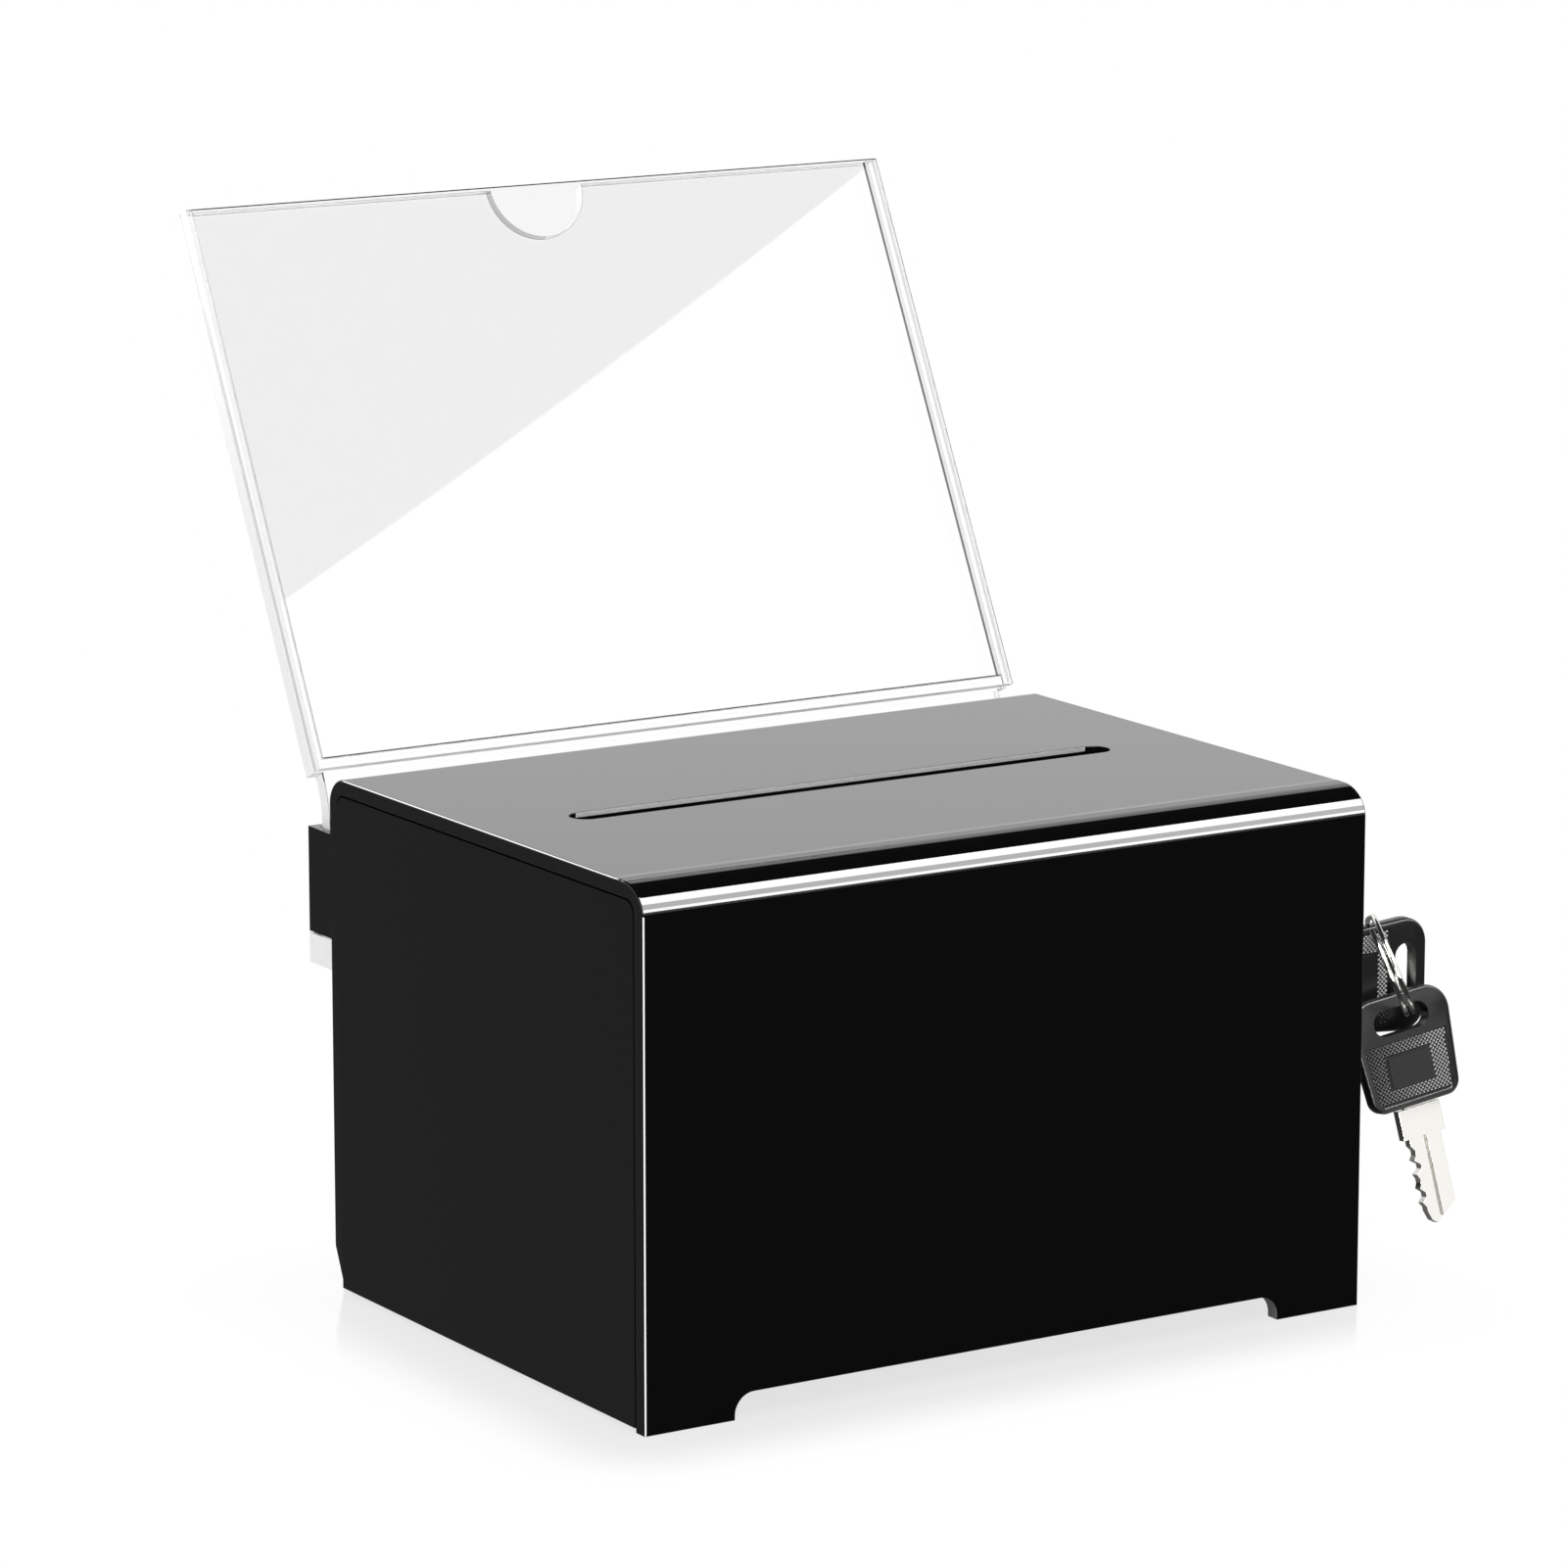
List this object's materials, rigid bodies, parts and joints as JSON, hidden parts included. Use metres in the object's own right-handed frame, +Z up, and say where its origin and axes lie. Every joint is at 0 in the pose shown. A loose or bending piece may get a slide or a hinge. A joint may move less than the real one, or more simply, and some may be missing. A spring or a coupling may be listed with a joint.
{
  "type": "lockable acrylic box",
  "caption": "Black acrylic drop box with a slot in its bent top, a side door on pins with a cam lock and hanging keys, and a clear lift-out sign holder leaning back behind it.",
  "frame": {"origin": "on the floor under the middle of the whole part, keys and sign holder included", "axes": "+Z up, -Y the front wall with the visible feet, +X the side with the door, lock and keys"},
  "size_m": [0.1908, 0.174, 0.2022],
  "materials": {
    "black_acrylic": "polished black cast acrylic sheet, laser cut and bent",
    "clear_acrylic": "polished clear cast acrylic sheet",
    "nickel": "bright nickel plate",
    "zinc_steel": "zinc-plated steel",
    "black_moulding": "moulded black plastic with a fine diamond grip"
  },
  "bodies": {
    "box": {"wrap_shell": "black_acrylic", "left_side_panel": "black_acrylic", "bottom_panel": "black_acrylic", "strike_strip": "black_acrylic", "bracket_inner_plate": "black_acrylic", "bracket_outer_plate": "black_acrylic", "bracket_end_left": "black_acrylic", "bracket_end_right": "black_acrylic", "tab_stop_strip": "clear_acrylic"},
    "door": {"door": "black_acrylic", "hinge_pin_top": "zinc_steel", "hinge_pin_bottom": "zinc_steel", "lock_housing": "nickel", "lock_washer": "zinc_steel", "lock_nut": "nickel"},
    "plug": {"lock_plug": "nickel", "lock_cam": "zinc_steel", "cam_screw": "zinc_steel"},
    "key_1": {"key_1_bow": "black_moulding", "key_1_blade": "nickel"},
    "ring": {"split_ring": "nickel"},
    "key_2": {"key_2_bow": "black_moulding", "key_2_blade": "nickel"},
    "holder": {"holder_back_pane": "clear_acrylic", "holder_front_pane": "clear_acrylic", "holder_side_strip_left": "clear_acrylic", "holder_side_strip_right": "clear_acrylic", "holder_bottom_strip": "clear_acrylic"}
  },
  "joints": [
    {"name": "door_hinge", "type": "hinge", "parent": "box", "child": "door", "pos_m": [0.06183, 0.02041, 0.0528], "axis": [0, 0, 1], "range_deg": [0, 110]},
    {"name": "lock_turn", "type": "hinge", "parent": "door", "child": "plug", "pos_m": [0.06513, -0.06559, 0.0573], "axis": [1, 0, 0], "range_deg": [0, 90]},
    {"name": "key_slide", "type": "slide", "parent": "plug", "child": "key_1", "axis": [1, 0, 0], "range_m": [0, 0.02]},
    {"name": "ring_swing", "type": "hinge", "parent": "key_1", "child": "ring", "pos_m": [0.08087, -0.06419, 0.06789], "axis": [-1, 0, 0], "range_deg": [0, 25]},
    {"name": "key_2_swing", "type": "hinge", "parent": "ring", "child": "key_2", "pos_m": [0.08613, -0.07166, 0.05137], "axis": [-0.0858, -0.9811, 0.1737], "range_deg": [-25, 45]},
    {"name": "holder_lift", "type": "slide", "parent": "box", "child": "holder", "axis": [0, 0, 1], "range_m": [0, 0.03]}
  ]
}
